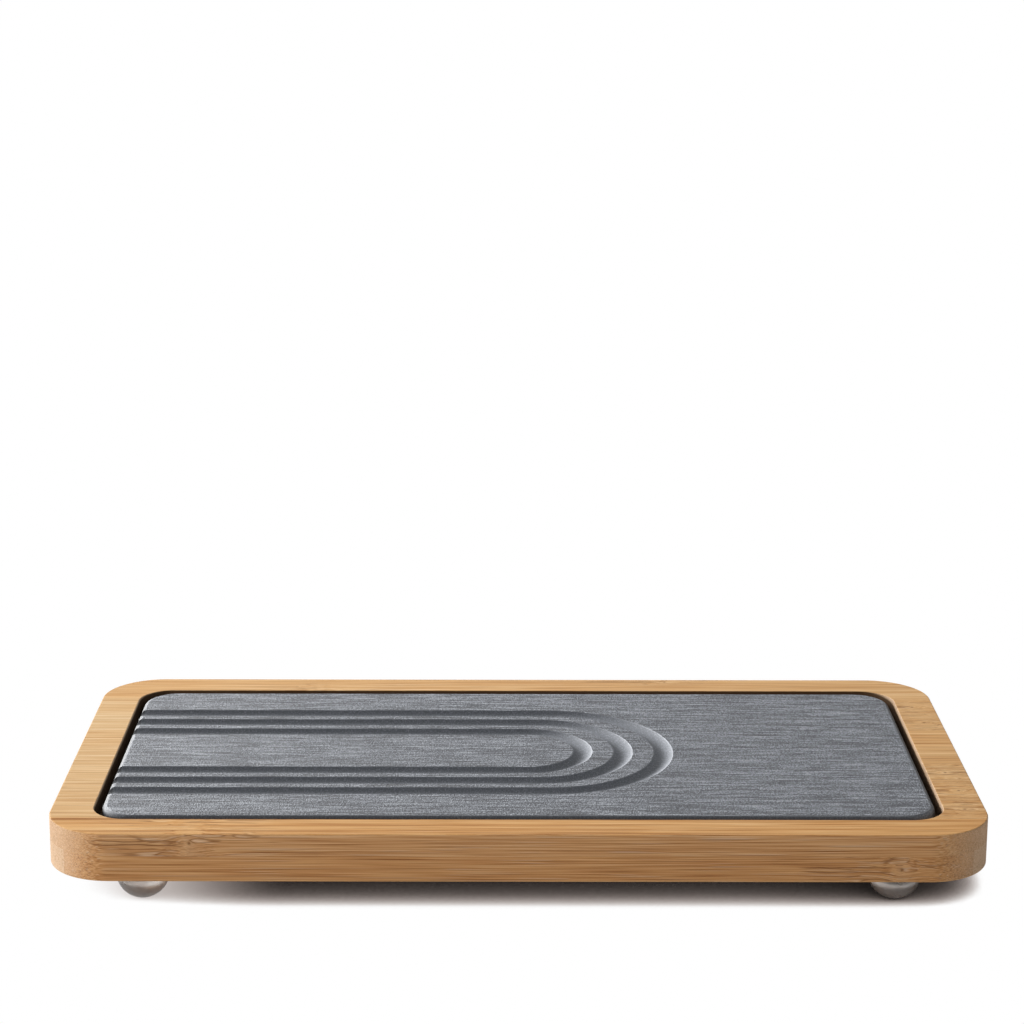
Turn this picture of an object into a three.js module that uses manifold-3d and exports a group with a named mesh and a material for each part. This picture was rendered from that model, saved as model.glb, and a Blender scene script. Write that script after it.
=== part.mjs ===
// Vanity tray: a board of two glued bamboo plies with a pocket, a grooved stone plate that lies loose
// in the pocket, and four clear dome feet stuck under the board.
// Millimetres, +X along the tray to the right, +Y to the rear, +Z up. The origin is on the table,
// under the middle of the tray.
import * as THREE from "three";
import { mergeVertices } from "three/addons/utils/BufferGeometryUtils.js";
import Module from "manifold-3d";

// Board: each ply is a row of strips, glued edge to edge, with the grain along X. The upper ply's front
// strip laps a little past the front rim, its rear strip is trimmed narrow, and the strips between them
// share what is left.
const TRAY_LENGTH = 285;
const TRAY_WIDTH = 150;
const BOARD_THICKNESS = 15;
const LOWER_PLY_THICKNESS = 8;
const STRIP_COUNT = 10;
const FRONT_STRIP_LAP = 1;
const REAR_STRIP_WIDTH = 5.5;
const GLUE_LINE = 0.1;
const CORNER_RADIUS = 20;
const EDGE_ROUND = 1;

// Pocket: cut right through the upper ply, so its floor is the lower ply.
const RIM_WIDTH = 12.85;
const POCKET_CORNER_RADIUS = 11;

// Stone plate: clear of the pocket all round, and its corners are a little rounder than the pocket's.
const PLATE_SIDE_GAP = 2.15;
const PLATE_SEAT_GAP = 0.1;
const PLATE_BELOW_RIM = 0;
const PLATE_CORNER_EASE = 0.5;
const PLATE_EDGE_ROUND = 1.8;

// Drain grooves: nested U shapes whose arms run out at the plate's left edge.
// The span is measured between the arms' centre lines, the arm from the plate's left edge to the bend.
const GROOVE_COUNT = 3;
const GROOVE_WIDTH = 6.3;
const GROOVE_DEPTH = 1.2;
const GROOVE_PITCH = 9.5;
const INNER_GROOVE_SPAN = 37.2;
const INNER_GROOVE_ARM = 130;
const GROOVE_ARM_STEP = 3.55;

// Feet: domes with a small flat where they stand, each on a disc of adhesive tape.
// The margins are measured from the dome's edge to the board's edges.
const FOOT_RADIUS = 8;
const FOOT_HEIGHT = 7.6;
const FOOT_CONTACT_RADIUS = 1.5;
const FOOT_END_MARGIN = 21.3;
const FOOT_SIDE_MARGIN = 1;
const TAPE_THICKNESS = 0.4;
const TAPE_INSET = 0.5;

// Fineness of the round shapes.
const CORNER_DIVISIONS = 5;
const EDGE_DIVISIONS = 2;
const PLATE_EDGE_DIVISIONS = 3;
const BEND_STEPS = 28;
const GROOVE_SIDES = 24;
const FOOT_SIDES = 32;
const DOME_STEPS = 8;

// How far a cutting solid reaches past the piece that it cuts.
const CUT_MARGIN = 5;
const MERGE_DISTANCE = 1e-5;

// Finishes, from the photograph.
const BAMBOO_COLOUR = 0xd5a770;
const BAMBOO_TONE_SPREAD = 0.07;
const BAMBOO_TONE_STEP = 2.4;
const STONE_COLOUR = 0x686b71;
const FOOT_COLOUR = 0xc9c4c0;
const TAPE_COLOUR = 0xe4e0d8;

// Sizes that follow from the driving dimensions.
const frontStripWidth = RIM_WIDTH + FRONT_STRIP_LAP;
const stripWidth = (TRAY_WIDTH - frontStripWidth - REAR_STRIP_WIDTH) / (STRIP_COUNT - 2);
const upperPlyBottom = LOWER_PLY_THICKNESS + GLUE_LINE;
const pocketLength = TRAY_LENGTH - 2 * RIM_WIDTH;
const pocketWidth = TRAY_WIDTH - 2 * RIM_WIDTH;
const plateLength = pocketLength - 2 * PLATE_SIDE_GAP;
const plateWidth = pocketWidth - 2 * PLATE_SIDE_GAP;
const plateBottom = LOWER_PLY_THICKNESS + PLATE_SEAT_GAP;
const plateThickness = BOARD_THICKNESS - PLATE_BELOW_RIM - plateBottom;
const plateCornerRadius = POCKET_CORNER_RADIUS + PLATE_CORNER_EASE;
const coveRadius = GROOVE_WIDTH ** 2 / (8 * GROOVE_DEPTH) + GROOVE_DEPTH / 2;
const standHeight = FOOT_HEIGHT + TAPE_THICKNESS;
const footX = TRAY_LENGTH / 2 - FOOT_END_MARGIN - FOOT_RADIUS;
const footY = TRAY_WIDTH / 2 - FOOT_SIDE_MARGIN - FOOT_RADIUS;

const wasm = await Module();
wasm.setup();

// A closed geometry as a solid that can be cut and joined.
function toSolid(geometry) {
  geometry.deleteAttribute("normal");
  geometry.deleteAttribute("uv");
  const merged = mergeVertices(geometry, MERGE_DISTANCE);
  const mesh = new wasm.Mesh({
    numProp: 3,
    vertProperties: merged.attributes.position.array,
    triVerts: new Uint32Array(merged.index.array),
  });
  return new wasm.Manifold(mesh);
}

// A solid as a geometry with flat facets.
function toGeometry(solid) {
  const { vertProperties, triVerts } = solid.getMesh();
  const indexed = new THREE.BufferGeometry();
  indexed.setAttribute("position", new THREE.BufferAttribute(vertProperties, 3));
  indexed.setIndex(new THREE.BufferAttribute(triVerts, 1));
  const facets = indexed.toNonIndexed();
  facets.computeVertexNormals();
  return facets;
}

// A rectangle with round corners, centred on the origin.
function roundedRectangle(length, width, radius) {
  const x = length / 2 - radius;
  const y = width / 2 - radius;
  const outline = new THREE.Shape();
  outline.absarc(x, y, radius, 0, Math.PI / 2);
  outline.absarc(-x, y, radius, Math.PI / 2, Math.PI);
  outline.absarc(-x, -y, radius, Math.PI, 1.5 * Math.PI);
  outline.absarc(x, -y, radius, 1.5 * Math.PI, 2 * Math.PI);
  outline.closePath();
  return outline;
}

// A slab that stands on z = 0, with its upper and lower edges rounded.
function roundedSlab(outline, thickness, edgeRound, edgeDivisions) {
  const slab = new THREE.ExtrudeGeometry(outline, {
    depth: thickness - 2 * edgeRound,
    curveSegments: CORNER_DIVISIONS,
    bevelThickness: edgeRound,
    bevelSize: edgeRound,
    bevelOffset: -edgeRound,
    bevelSegments: edgeDivisions,
  });
  slab.translate(0, 0, edgeRound);
  return toSolid(slab);
}

// An upright prism of an outline between two heights.
function prism(outline, low, high) {
  const options = { depth: high - low, curveSegments: CORNER_DIVISIONS, bevelEnabled: false };
  const block = new THREE.ExtrudeGeometry(outline, options);
  block.translate(0, 0, low);
  return toSolid(block);
}

// A block between two corners, to cut one strip out of the board.
function block(xRange, yRange, zRange) {
  const outline = new THREE.Shape();
  outline.moveTo(xRange[0], yRange[0]);
  outline.lineTo(xRange[1], yRange[0]);
  outline.lineTo(xRange[1], yRange[1]);
  outline.lineTo(xRange[0], yRange[1]);
  outline.closePath();
  return prism(outline, zRange[0], zRange[1]);
}

// Bamboo: each strip has its own tone, lighter or darker in turn.
function bamboo(strip) {
  const tone = 1 + BAMBOO_TONE_SPREAD * Math.sin(BAMBOO_TONE_STEP * strip);
  const colour = new THREE.Color(BAMBOO_COLOUR).multiplyScalar(tone);
  return new THREE.MeshStandardMaterial({ color: colour, roughness: 0.55, metalness: 0 });
}

function stone() {
  return new THREE.MeshStandardMaterial({ color: STONE_COLOUR, roughness: 0.75, metalness: 0 });
}

function clearRubber() {
  const look = { roughness: 0.15, metalness: 0, transparent: true, opacity: 0.5 };
  return new THREE.MeshStandardMaterial({ color: FOOT_COLOUR, ...look });
}

function tape() {
  return new THREE.MeshStandardMaterial({ color: TAPE_COLOUR, roughness: 0.4, metalness: 0 });
}

function piece(name, geometry, material) {
  const mesh = new THREE.Mesh(geometry, material);
  mesh.name = name;
  return mesh;
}

// Where the upper ply's strips reach across the tray, from front to rear, each half a glue line short
// of its neighbours. The outermost strips reach past the board, whose own outline ends them.
function upperStripReaches() {
  const firstJoint = -TRAY_WIDTH / 2 + frontStripWidth;
  const reaches = [];
  for (let strip = 0; strip < STRIP_COUNT; strip += 1) {
    const rearJoint = firstJoint + strip * stripWidth;
    const front = strip === 0 ? -TRAY_WIDTH / 2 - CUT_MARGIN : rearJoint - stripWidth + GLUE_LINE / 2;
    const rear = strip === STRIP_COUNT - 1 ? TRAY_WIDTH / 2 + CUT_MARGIN : rearJoint - GLUE_LINE / 2;
    reaches.push([front, rear]);
  }
  return reaches;
}

// The board in its own frame, standing on z = 0. A strip of the upper ply that lies wholly inside the
// pocket's width is left as two blocks, one at each end of the tray. The lower ply is laid the other
// way round, so that the joints of the two plies are staggered.
function makeBoard() {
  const outline = roundedRectangle(TRAY_LENGTH, TRAY_WIDTH, CORNER_RADIUS);
  const whole = roundedSlab(outline, BOARD_THICKNESS, EDGE_ROUND, EDGE_DIVISIONS);
  const pocketOutline = roundedRectangle(pocketLength, pocketWidth, POCKET_CORNER_RADIUS);
  const pocket = prism(pocketOutline, LOWER_PLY_THICKNESS, BOARD_THICKNESS + CUT_MARGIN);
  const ring = whole.subtract(pocket);

  const end = TRAY_LENGTH / 2 + CUT_MARGIN;
  const lowerHeights = [-CUT_MARGIN, LOWER_PLY_THICKNESS];
  const upperHeights = [upperPlyBottom, BOARD_THICKNESS + CUT_MARGIN];
  const upperReaches = upperStripReaches();
  const lowerReaches = upperReaches.map(([front, rear]) => [-rear, -front]).reverse();
  const board = new THREE.Group();

  lowerReaches.forEach((reach, strip) => {
    const lower = ring.intersect(block([-end, end], reach, lowerHeights));
    board.add(piece(`lower_strip_${strip + 1}`, toGeometry(lower), bamboo(strip + STRIP_COUNT)));
  });
  upperReaches.forEach((reach, strip) => {
    const name = `upper_strip_${strip + 1}`;
    const insidePocket = reach[0] >= -pocketWidth / 2 && reach[1] <= pocketWidth / 2;
    if (insidePocket) {
      const left = ring.intersect(block([-end, 0], reach, upperHeights));
      const right = ring.intersect(block([0, end], reach, upperHeights));
      board.add(piece(`${name}_left`, toGeometry(left), bamboo(strip)));
      board.add(piece(`${name}_right`, toGeometry(right), bamboo(strip)));
    } else {
      const upper = ring.intersect(block([-end, end], reach, upperHeights));
      board.add(piece(name, toGeometry(upper), bamboo(strip)));
    }
  });
  return board;
}

// The centre line of one groove: an arm, a half-circle bend and the other arm.
// Each arm is one step and the bend takes the rest, so the steps don't follow the length.
class GroovePath extends THREE.Curve {
  constructor(arm, halfSpan, height) {
    super();
    this.start = -plateLength / 2 - CUT_MARGIN;
    this.bendCentre = -plateLength / 2 + arm;
    this.halfSpan = halfSpan;
    this.height = height;
  }

  getPoint(t, target = new THREE.Vector3()) {
    const step = t * (BEND_STEPS + 2) - 1;
    const alongArm = Math.max(-step, step - BEND_STEPS, 0);
    const bend = THREE.MathUtils.clamp(step / BEND_STEPS, 0, 1) * Math.PI - Math.PI / 2;
    const x = this.bendCentre + this.halfSpan * Math.cos(bend);
    const y = this.halfSpan * Math.sin(bend);
    return target.set(x + (this.start - this.bendCentre) * alongArm, y, this.height);
  }

  getPointAt(u, target) {
    return this.getPoint(u, target);
  }

  getTangentAt(u, target) {
    return this.getTangent(u, target);
  }
}

// A round bar along one groove's path, whose lower side is the groove's cove.
function grooveBar(index) {
  const arm = INNER_GROOVE_ARM + index * GROOVE_ARM_STEP;
  const halfSpan = INNER_GROOVE_SPAN / 2 + index * GROOVE_PITCH;
  const height = plateThickness - GROOVE_DEPTH + coveRadius;
  const section = new THREE.Shape();
  section.absarc(0, 0, coveRadius, 0, 2 * Math.PI);
  const bar = new THREE.ExtrudeGeometry(section, {
    steps: BEND_STEPS + 2,
    curveSegments: GROOVE_SIDES / 2,
    extrudePath: new GroovePath(arm, halfSpan, height),
  });
  return toSolid(bar);
}

// The stone plate in its own frame, standing on z = 0.
function makePlate() {
  const outline = roundedRectangle(plateLength, plateWidth, plateCornerRadius);
  let plate = roundedSlab(outline, plateThickness, PLATE_EDGE_ROUND, PLATE_EDGE_DIVISIONS);
  for (let index = 0; index < GROOVE_COUNT; index += 1) {
    plate = plate.subtract(grooveBar(index));
  }
  return piece("stone_plate", toGeometry(plate), stone());
}

// One dome foot in its own frame, standing on z = 0: a quarter ellipse turned about the foot's axis,
// from the edge of the contact flat to the widest point at the top.
function footGeometry() {
  const firstAngle = Math.asin(FOOT_CONTACT_RADIUS / FOOT_RADIUS);
  const profile = [new THREE.Vector2(0, 0)];
  for (let step = 0; step <= DOME_STEPS; step += 1) {
    const angle = THREE.MathUtils.lerp(firstAngle, Math.PI / 2, step / DOME_STEPS);
    const rise = 1 - Math.cos(angle) / Math.cos(firstAngle);
    profile.push(new THREE.Vector2(FOOT_RADIUS * Math.sin(angle), FOOT_HEIGHT * rise));
  }
  profile.push(new THREE.Vector2(0, FOOT_HEIGHT));
  return new THREE.LatheGeometry(profile, FOOT_SIDES).rotateX(Math.PI / 2);
}

function tapeGeometry() {
  const radius = FOOT_RADIUS - TAPE_INSET;
  const disc = new THREE.CylinderGeometry(radius, radius, TAPE_THICKNESS, FOOT_SIDES);
  return disc.rotateX(Math.PI / 2).translate(0, 0, FOOT_HEIGHT + TAPE_THICKNESS / 2);
}

// Four feet, one near each corner, each with its disc of tape between the dome and the board.
function makeFeet() {
  const feet = new THREE.Group();
  for (const [row, y] of [["front", -footY], ["rear", footY]]) {
    for (const [side, x] of [["left", -footX], ["right", footX]]) {
      const foot = new THREE.Group();
      foot.position.set(x, y, 0);
      foot.add(piece(`foot_${row}_${side}`, footGeometry(), clearRubber()));
      foot.add(piece(`foot_tape_${row}_${side}`, tapeGeometry(), tape()));
      feet.add(foot);
    }
  }
  return feet;
}

const tray = new THREE.Group();
const board = makeBoard();
board.position.z = standHeight;
const plate = makePlate();
plate.position.z = standHeight + plateBottom;
tray.add(board, plate, makeFeet());

export default tray;
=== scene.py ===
"""Vanity tray: a glued-up bamboo board with a loose stone drying plate on clear dome feet.

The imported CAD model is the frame. Every piece here is a surface worked out with numpy around it, in
metres, standing for the CAD node that it is named after.
"""

import math

import bmesh
import bpy
import numpy as np
from bpy.props import FloatProperty, FloatVectorProperty, PointerProperty
from mathutils import Matrix, Vector


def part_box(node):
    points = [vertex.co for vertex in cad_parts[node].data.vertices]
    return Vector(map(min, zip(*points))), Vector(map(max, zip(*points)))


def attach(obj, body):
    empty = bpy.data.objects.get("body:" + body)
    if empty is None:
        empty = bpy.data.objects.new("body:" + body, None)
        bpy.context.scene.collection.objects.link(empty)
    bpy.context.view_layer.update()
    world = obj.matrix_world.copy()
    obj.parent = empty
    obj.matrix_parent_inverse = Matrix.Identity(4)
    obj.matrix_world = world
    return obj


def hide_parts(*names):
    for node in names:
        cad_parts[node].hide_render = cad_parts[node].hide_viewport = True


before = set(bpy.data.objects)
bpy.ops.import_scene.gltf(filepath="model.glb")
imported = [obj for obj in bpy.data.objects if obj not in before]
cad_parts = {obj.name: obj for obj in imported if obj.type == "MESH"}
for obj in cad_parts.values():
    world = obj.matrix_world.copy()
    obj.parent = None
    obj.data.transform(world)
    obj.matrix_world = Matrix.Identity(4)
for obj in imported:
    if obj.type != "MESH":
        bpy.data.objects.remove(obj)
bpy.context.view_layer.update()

bl_info = {
    "name": "Vanity tray",
    "version": (1, 0, 0),
    "blender": (4, 5, 0),
    "location": "3D View > Sidebar > Tray",
    "description": "Builds a bamboo vanity tray with a stone drying plate around its packed CAD model",
    "category": "Add Mesh",
}

MILLIMETRE = 0.001

# How finely the curves are cut.
EDGE_STEPS = 7
CORNER_STEPS = 24
STRIP_STEPS = 40
BEND_STEPS = 72
COVE_STEPS = 22
SHOULDER_STEPS = 6
DOME_STEPS = 20
TURN_STEPS = 72
SMOOTH_LIMIT = math.radians(32)
MERGE_DISTANCE = 1e-7

# The grooves' number, and their cutter: how far its sides flare out above the plate and how steeply they
# rise there, where its shoulders stop short of level, and how far it runs out past the plate's edge.
GROOVE_COUNT = 3
CUTTER_FLARE = 0.002
CUTTER_SLOPE = 0.2
SHOULDER_END = math.radians(9)
CUTTER_RUNOUT = 0.003

# How far the wood reaches into a glue line from each side, in metres, which leaves a hairline open.
GLUE_FILL = 0.000037

# Tone of each strip from front to rear: above zero is paler, below zero is deeper.
UPPER_TONES = (-0.6, -0.2, -0.05, 0.05, 0.1, -0.15, 0.25, 0.05, 0.15, 0.05)
LOWER_TONES = (-0.85, 0.3, -0.4, 0.1, 0.5, -0.1, 0.2, -0.5, 0.4, 0.0)

# Painted light: how much paler than its strip's tone a block at the tray's left end is drawn, where the light
# from the left falls.
PAINTED_END_LIGHT = {"left": 0.8}

# How far the wood's pattern moves on from one strip to the next along x, y and z, in millimetres, and
# how many strips on the lower ply starts.
STRIP_SHIFT = (311.0, 17.3, 9.7)
LOWER_START = 20.0

# Where a strip has a knot, along the tray in millimetres. The others have none in reach.
KNOTS = {
    "upper_strip_1": -98.0,
    "upper_strip_2_right": 136.0,
    "upper_strip_3_right": 137.0,
    "upper_strip_4_right": 135.5,
    "upper_strip_7_right": 136.5,
    "upper_strip_8_right": 135.0,
    "upper_strip_9": -69.0,
    "upper_strip_10": 52.0,
    "lower_strip_1": 114.0,
    "lower_strip_2": -48.0,
    "lower_strip_3": 76.0,
    "lower_strip_4": -112.0,
    "lower_strip_5": 31.0,
    "lower_strip_6": 124.0,
    "lower_strip_7": -20.0,
    "lower_strip_8": 68.0,
    "lower_strip_9": -91.0,
    "lower_strip_10": 40.0,
}
NO_KNOT = 900.0

# How high a knot lies that shows on the front wall, in millimetres. The others lie on the ply's outer face.
KNOT_HEIGHTS = {"upper_strip_1": 20.2, "lower_strip_1": 12.0}

# Painted sheen: how the sawn side walls are drawn bluer and less warm than the top, in red, green and blue.
PAINTED_WALL_SHEEN = (0.946, 0.975, 1.175)

# How long, wide and high the wood's markings are, in millimetres.
FINE_FIBRES = (30.0, 0.27, 0.27)
FIBRE_LINES = (75.0, 0.9, 0.9)
FIBRE_STREAKS = (150.0, 2.2, 2.2)
FIBRE_BANDS = (240.0, 5.5, 5.5)
VESSELS = (24.0, 0.5, 0.5)
HAIRLINES = (28.0, 0.27, 0.27)
KNOT_WANDER = (5.5, 4.0, 4.0)
KNOT_DASHES = (2.4, 0.5, 0.5)
CRACK_SWAY = (14.0, 6.0, 6.0)
CRACK_LINES = (36.0, 1.1, 1.1)
CRACK_RUNS = (22.0, 3.0, 3.0)
SPLIT_WANDER = (9.0, 2.0, 2.0)
CUT_SPECKS = (0.7, 0.5, 0.5)
CUT_PATCHES = (9.0, 5.0, 3.5)
EDGE_WEAR_AND_HIGHLIGHT = (9.0, 3.0, 3.0)

# Where in the noise the vessels, the hairlines and the stone's scratches are taken from, and how far under a
# pale hairline its painted shadow, a brown line, lies, in millimetres.
VESSEL_START = (0.0, 71.0, 43.0)
HAIRLINE_START = (0.0, 37.0, 59.0)
SCRATCH_START = (53.0, 29.0, 0.0)
HAIRLINE_DROP = 0.25

# How far along its strip a knot bends the fibres, shows its pale band and cracks the wood, how far to its
# left the vessels are darkest and how far that reaches, in millimetres.
KNOT_REACH = 7.5
KNOT_BAND = 2.6
CRACK_REACH = 22.0
VESSEL_LEFT = 16.0
VESSEL_REACH = 15.0

# How wide the wander of fibres and cracks by a knot is along x, y and z, in millimetres.
WANDER_WIDTHS = (0.0, 1.8, 1.6)
SWAY_WIDTHS = (0.0, 3.5, 3.5)

# How far along and aside a knot parts the fibres, how far it pushes them, and the core where the push
# eases off, in millimetres.
PARTING_LENGTH = 6.0
PARTING_WIDTH = 5.0
PARTING_PUSH = 1.5
PARTING_CORE = 0.8

# The size of a knot's eye and, for the double split to its left, where it opens and closes along the strip,
# how far each half lies from the middle and how wide it is, in millimetres.
KNOT_EYE = 0.5
SPLIT_OPENS = (-32.0, -26.0)
SPLIT_CLOSES = (-2.0, -5.0)
SPLIT_ASIDE = 0.65
SPLIT_WIDTH = 0.2

# Where the painted shade in the pocket round the plate begins and where it is full, in millimetres: in from
# the pocket's wall, in from the plate's edge, down from the rim's top, and down from the pocket's floor.
PAINTED_SHADE_IN_POCKET = (-0.35, 0.0)
PAINTED_SHADE_BY_PLATE = (7.0, 0.5)
PAINTED_SHADE_UNDER_RIM = (0.1, 1.3)
PAINTED_SHADE_IN_FLOOR = (0.5, 0.1)

# Where the stone's brush marks and its painted highlight and shade begin and where they are full, in
# millimetres: the brush marks and the painted highlight on the grooves' shoulders down from the plate's top,
# and the painted shade on its rounded edges in from its ends and sides.
BRUSHED_LAYER = (0.2, 0.06)
SHOULDER_HIGHLIGHT_LAYER = (0.01, 0.09)
END_SHADE_BAND = (1.5, 0.95)
SIDE_SHADE_BAND = (1.5, 0.5)

# How long, wide and high the markings of the stone, the rubber and the tape are, in millimetres.
LONG_MARKS = (11.0, 0.34, 0.34)
SCRATCHES = (12.0, 0.9, 0.9)
STONE_GRAIN = (0.4, 0.6, 0.6)
STONE_CLOUDS = (26.0, 7.0, 7.0)
RUBBER_CLOUDS = (5.0, 5.0, 3.0)
RUBBER_GRAIN = (0.7, 0.7, 0.7)
TAPE_THREADS = (6.0, 0.5, 0.5)
TAPE_SPECKS = (0.6, 0.6, 0.6)

# The share of the sky's light that is missing overhead, the heights between which it fades on a dome of
# radius one, and the share that moves from right to left.
SKY_FADE = 0.8
SKY_HEIGHTS = (0.15, 0.75)
SKY_LEAN = 0.52

# The floor's half width and how far it looks up for shade, in metres, and the colour of its shade.
FLOOR_REACH = 9.0
SHADE_REACH = 0.25
SHADE_SAMPLES = 16
SHADE_TINT = (1.0, 0.82, 0.74)
WHITE = (1.0, 1.0, 1.0)

# Where along the floor the painted light at the left end takes the painted shadow away, and where the painted
# shadow grows steeper to the right, in millimetres.
LIT_STRETCH = (-70.0, -150.0)
STEEP_STRETCH = (60.0, 150.0)

# Each softbox's distance from the tray, width and height, in metres.
REAR_BOX = (1.1, 1.0, 0.5)
SIDE_BOX = (1.5, 0.82, 0.68)
RAKING_BOX = (1.7, 1.05, 0.45)

# The camera's place in millimetres, its turn, dip and lean in degrees, and how far it sees in metres.
CAMERA_PLACE = (-6.26, -800.66, 305.16)
CAMERA_ANGLES = (0.2955, 14.1822, -0.1913)
CAMERA_SIGHT = 100.0


def srgb(red, green, blue):
    """A colour given as 0 to 255 screen values, as the linear values that a shader takes."""
    screen = np.array([red, green, blue]) / 255.0
    linear = np.where(screen <= 0.04045, screen / 12.92, ((screen + 0.055) / 1.055) ** 2.4)
    return tuple(float(value) for value in linear)


def span(names):
    """Lowest and highest corner over several CAD nodes, in metres."""
    corners = np.array([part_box(name) for name in names])
    return corners[:, 0].min(axis=0), corners[:, 1].max(axis=0)


UPPER_NODES = [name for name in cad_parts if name.startswith("upper_strip_")]
LOWER_NODES = [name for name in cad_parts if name.startswith("lower_strip_")]
FOOT_NODES = [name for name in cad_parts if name.startswith("foot_") and "tape" not in name]
TAPE_NODES = [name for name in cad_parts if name.startswith("foot_tape_")]
BOARD_LOW, BOARD_HIGH = span(UPPER_NODES + LOWER_NODES)
UPPER_LOW, UPPER_HIGH = span(UPPER_NODES)
LOWER_LOW, LOWER_HIGH = span(LOWER_NODES)
PLATE_LOW, PLATE_HIGH = span(["stone_plate"])
BLOCK_LOW, BLOCK_HIGH = span(["upper_strip_5_left"])
RIM_WIDTH = float(BLOCK_HIGH[0] - BLOCK_LOW[0])
POCKET_HALF = [float(half - RIM_WIDTH) / MILLIMETRE for half in BOARD_HIGH[:2]]
PLATE_HALF = [float(half) / MILLIMETRE for half in PLATE_HIGH[:2]]


def length_property(name, description, default):
    """A size in metres that the sidebar shows in the scene's unit."""
    return FloatProperty(
        name=name, description=description, default=default, min=0.0, unit="LENGTH", precision=5
    )


def colour_property(name, description, default):
    """A colour swatch, held as linear red, green and blue."""
    return FloatVectorProperty(
        name=name, description=description, default=default, size=3, subtype="COLOR", min=0.0, max=1.0
    )


def level_property(name, description, default):
    """A level of light: a lamp of level one, on its own, makes a white sheet on the table white."""
    return FloatProperty(
        name=name, description=description, default=default, min=0.0, max=1.0, subtype="FACTOR"
    )


def angle_property(name, description, degrees):
    """An angle, given here in degrees."""
    return FloatProperty(name=name, description=description, default=math.radians(degrees), subtype="ANGLE")


class TrayBoardSettings(bpy.types.PropertyGroup):
    """Sizes and colours of the bamboo board."""

    corner_radius: length_property("Corner radius", "Radius of the board's corners in plan", 0.020)
    edge_round: length_property("Edge round", "Rounding of the board's outer edges", 0.00045)
    pocket_radius: length_property("Pocket radius", "Radius of the pocket's corners in plan", 0.011)
    pocket_edge: length_property("Pocket edge", "Rounding of the rim's inner edge", 0.0003)
    pale: colour_property("Pale bamboo", "The palest fibres", srgb(238, 205, 160))
    light: colour_property("Light bamboo", "Most of the ground between fibres", srgb(226, 184, 132))
    middle: colour_property("Middle bamboo", "The mean colour of the board", srgb(213, 166, 111))
    deep: colour_property("Deep bamboo", "The deeper bands", srgb(197, 146, 94))
    brown: colour_property("Brown bamboo", "Dark fibre lines, cracks and knot dashes", srgb(134, 90, 53))
    # The dark brown of the painted shade in the pocket round the plate.
    painted_pocket_shade: colour_property("Painted pocket shade", "Painted shade in the pocket round the plate", srgb(60, 39, 23))
    end_grain: colour_property("End grain", "The cut ends and their pale specks", srgb(236, 210, 183))


class TrayPlateSettings(bpy.types.PropertyGroup):
    """Sizes and colours of the stone plate."""

    corner_radius: length_property("Corner radius", "Radius of the plate's corners in plan", 0.0115)
    edge_round: length_property("Edge round", "Rounding of the plate's edges", 0.0018)
    groove_width: length_property("Groove width", "Width of a groove at the plate's top", 0.0063)
    groove_depth: length_property("Groove depth", "Depth of a groove below the plate's top", 0.0012)
    groove_shoulder: length_property("Groove shoulder", "Rounding of a groove's upper edges", 0.00018)
    groove_pitch: length_property("Groove pitch", "Distance between neighbouring groove arms", 0.0095)
    inner_span: length_property("Inner span", "Distance between the two arms of the inner groove", 0.0372)
    inner_arm: length_property("Inner arm", "Straight length of the inner groove's arms", 0.130)
    arm_step: length_property("Arm step", "How much longer each next groove's arms are", 0.00355)
    dark: colour_property("Dark stone", "Bottoms of the brush marks", srgb(32, 34, 40))
    middle: colour_property("Middle stone", "The mean colour of the brushed top", srgb(80, 84, 92))
    pale: colour_property("Pale stone", "Ridges of the brush marks", srgb(157, 161, 168))
    groove: colour_property("Groove stone", "The smooth stone in the grooves and edges", srgb(104, 108, 115))


class TrayFootSettings(bpy.types.PropertyGroup):
    """Sizes and colours of the feet and their tape."""

    contact_radius: length_property("Contact radius", "Radius of the flat that a foot stands on", 0.0015)
    tape_edge: length_property("Tape edge", "Rounding of the tape's rim", 0.00012)
    clear: colour_property("Clear rubber", "Tint of the clear dome", srgb(230, 223, 217))
    haze: colour_property("Rubber haze", "Tint of the cloudy streaks in the dome", srgb(204, 194, 187))
    tape: colour_property("Tape", "Colour of the adhesive disc", srgb(224, 219, 211))


class TrayStageSettings(bpy.types.PropertyGroup):
    """Light, floor and camera."""

    floor: colour_property("Floor", "The floor as the object's surfaces see it", srgb(232, 230, 227))
    sky_level: level_property("Sky level", "Light from low all round, less from overhead", 0.65)
    rear_level: level_property("Rear level", "Light on the table from the lamp behind the tray", 0.37)
    rear_turn: angle_property("Rear turn", "Turn of the rear lamp from the rear to the left", 20.0)
    rear_rise: angle_property("Rear height", "Height of the rear lamp above the table", 38.0)
    side_level: level_property("Side level", "Light on the table from the lamp at the left", 0.4)
    side_turn: angle_property("Side turn", "Turn of the side lamp from the rear to the left", 100.0)
    side_rise: angle_property("Side height", "Height of the side lamp above the table", 35.0)
    raking_level: level_property("Raking level", "Light on the plate from the lamp that skims it", 0.74)
    raking_turn: angle_property("Raking turn", "Turn of the raking lamp from the rear to the left", 47.0)
    raking_rise: angle_property("Raking height", "Height of the raking lamp above the table", 16.0)
    lens: FloatProperty(name="Lens", description="Focal length in millimetres", default=91.584, min=1.0)


def edge_arc(radius):
    """A quarter circle: how far it lies inside the edge, and how far above its start, step by step."""
    angle = np.linspace(0.0, math.pi / 2, EDGE_STEPS)
    return radius * (1.0 - np.cos(angle)), radius * np.sin(angle)


def ring_rows(length, width, radius, inset, height):
    """Rounded rectangles stacked up, one to a row: length, width, corner radius and height.

    Each is drawn in by its inset on all sides, and its corner radius shrinks by as much.
    """
    inset = np.asarray(inset, float)
    height = np.asarray(height, float)
    return np.stack([length - 2 * inset, width - 2 * inset, radius - inset, height], axis=1)


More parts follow.
